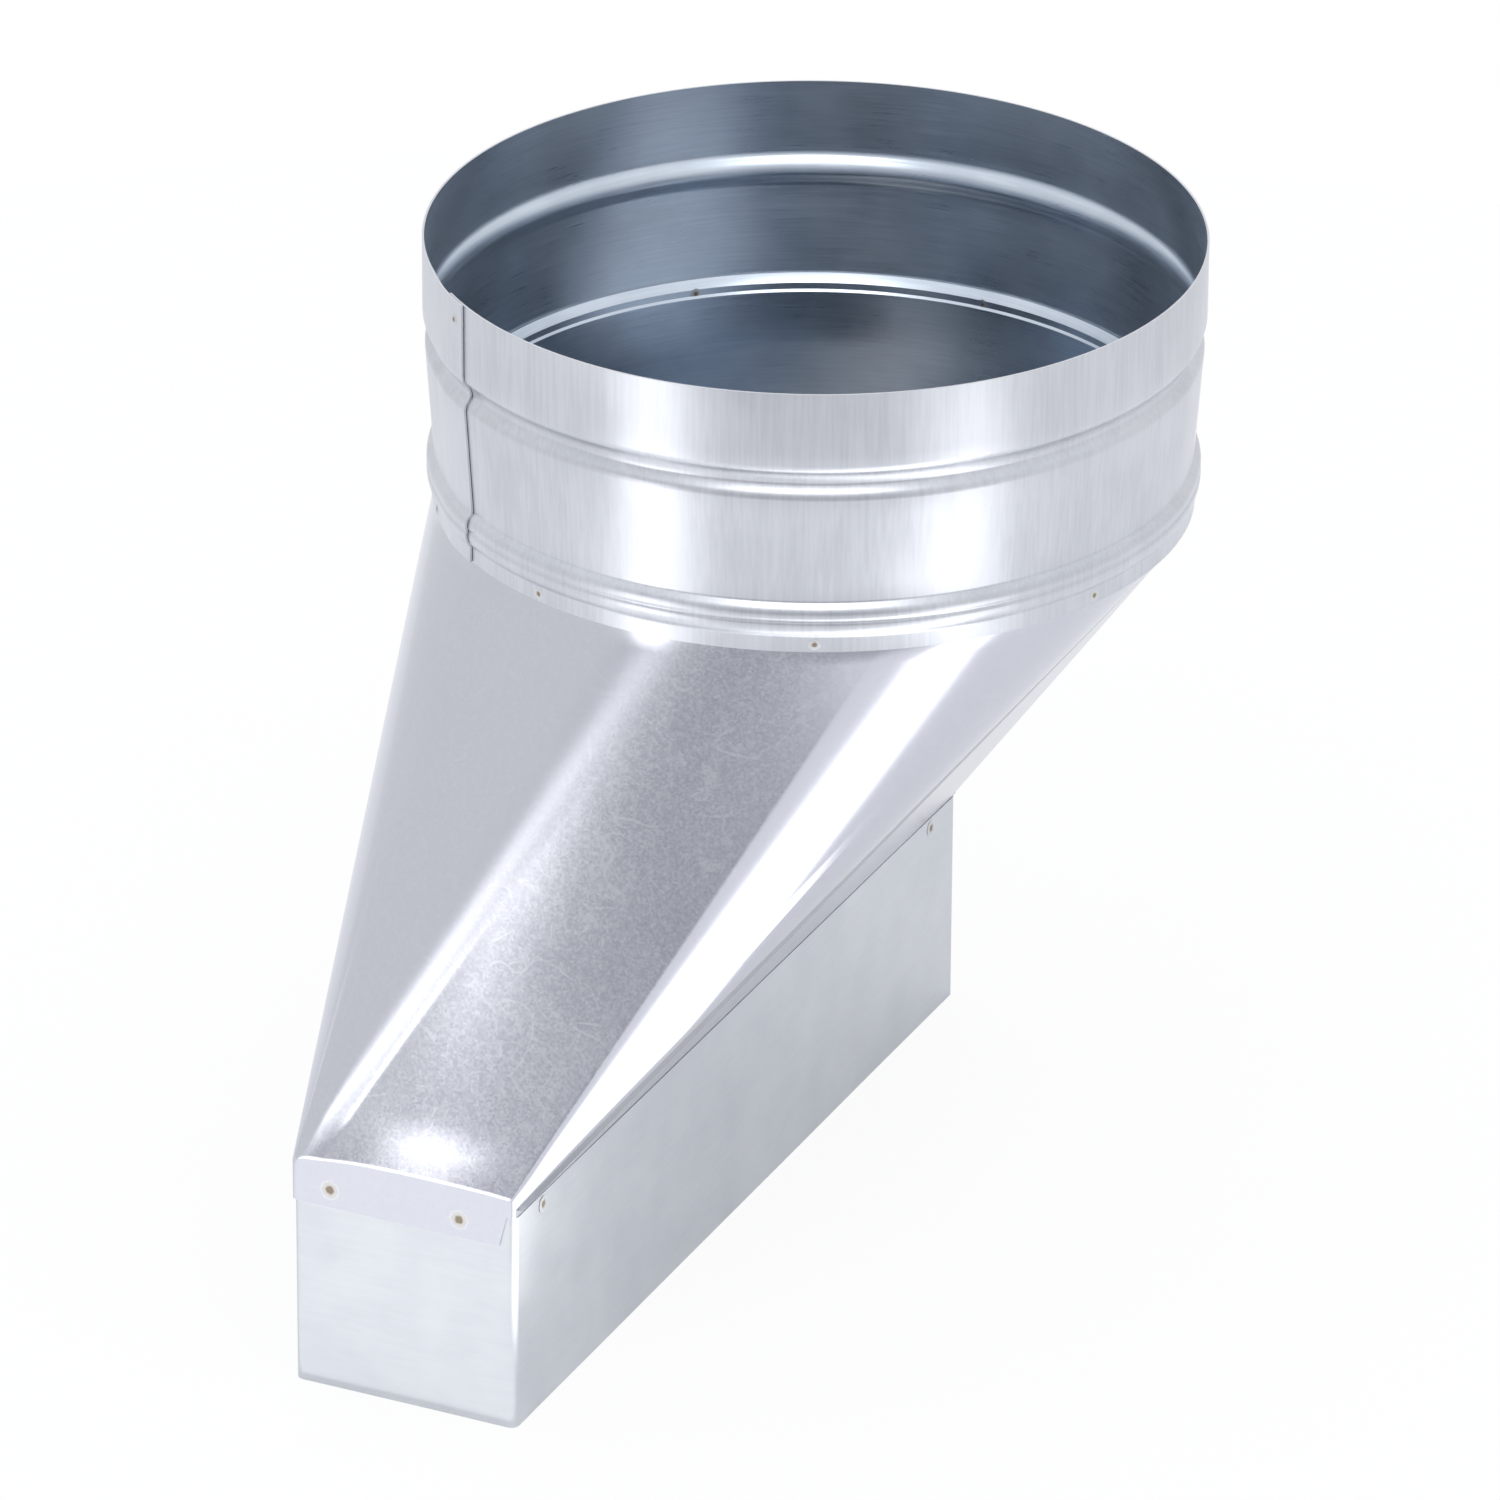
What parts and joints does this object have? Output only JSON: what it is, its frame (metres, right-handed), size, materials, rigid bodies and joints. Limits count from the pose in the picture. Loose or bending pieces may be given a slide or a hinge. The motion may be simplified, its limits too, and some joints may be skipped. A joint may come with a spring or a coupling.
{
  "type": "flat-to-round duct adapter",
  "caption": "Galvanised sheet-metal duct adapter: a flat rectangular sleeve that turns into a round beaded collar through an offset, spot-welded transition body.",
  "frame": {"origin": "middle of the sleeve's open mouth, on the plane of its lower edge", "axes": "+Z from the sleeve's mouth towards the round collar, parallel to both ducts; +X along the sleeve's long side; the collar is set off to -Y"},
  "size_m": [0.3574, 0.2612, 0.3703],
  "materials": {
    "sleeve_sheet": "galvanised, smooth",
    "body_sheet": "galvanised, lightly mottled",
    "collar_sheet": "galvanised, rolled"
  },
  "bodies": {
    "root": {"sleeve": "sleeve_sheet", "transition_body": "body_sheet", "round_collar": "collar_sheet"}
  },
  "joints": []
}
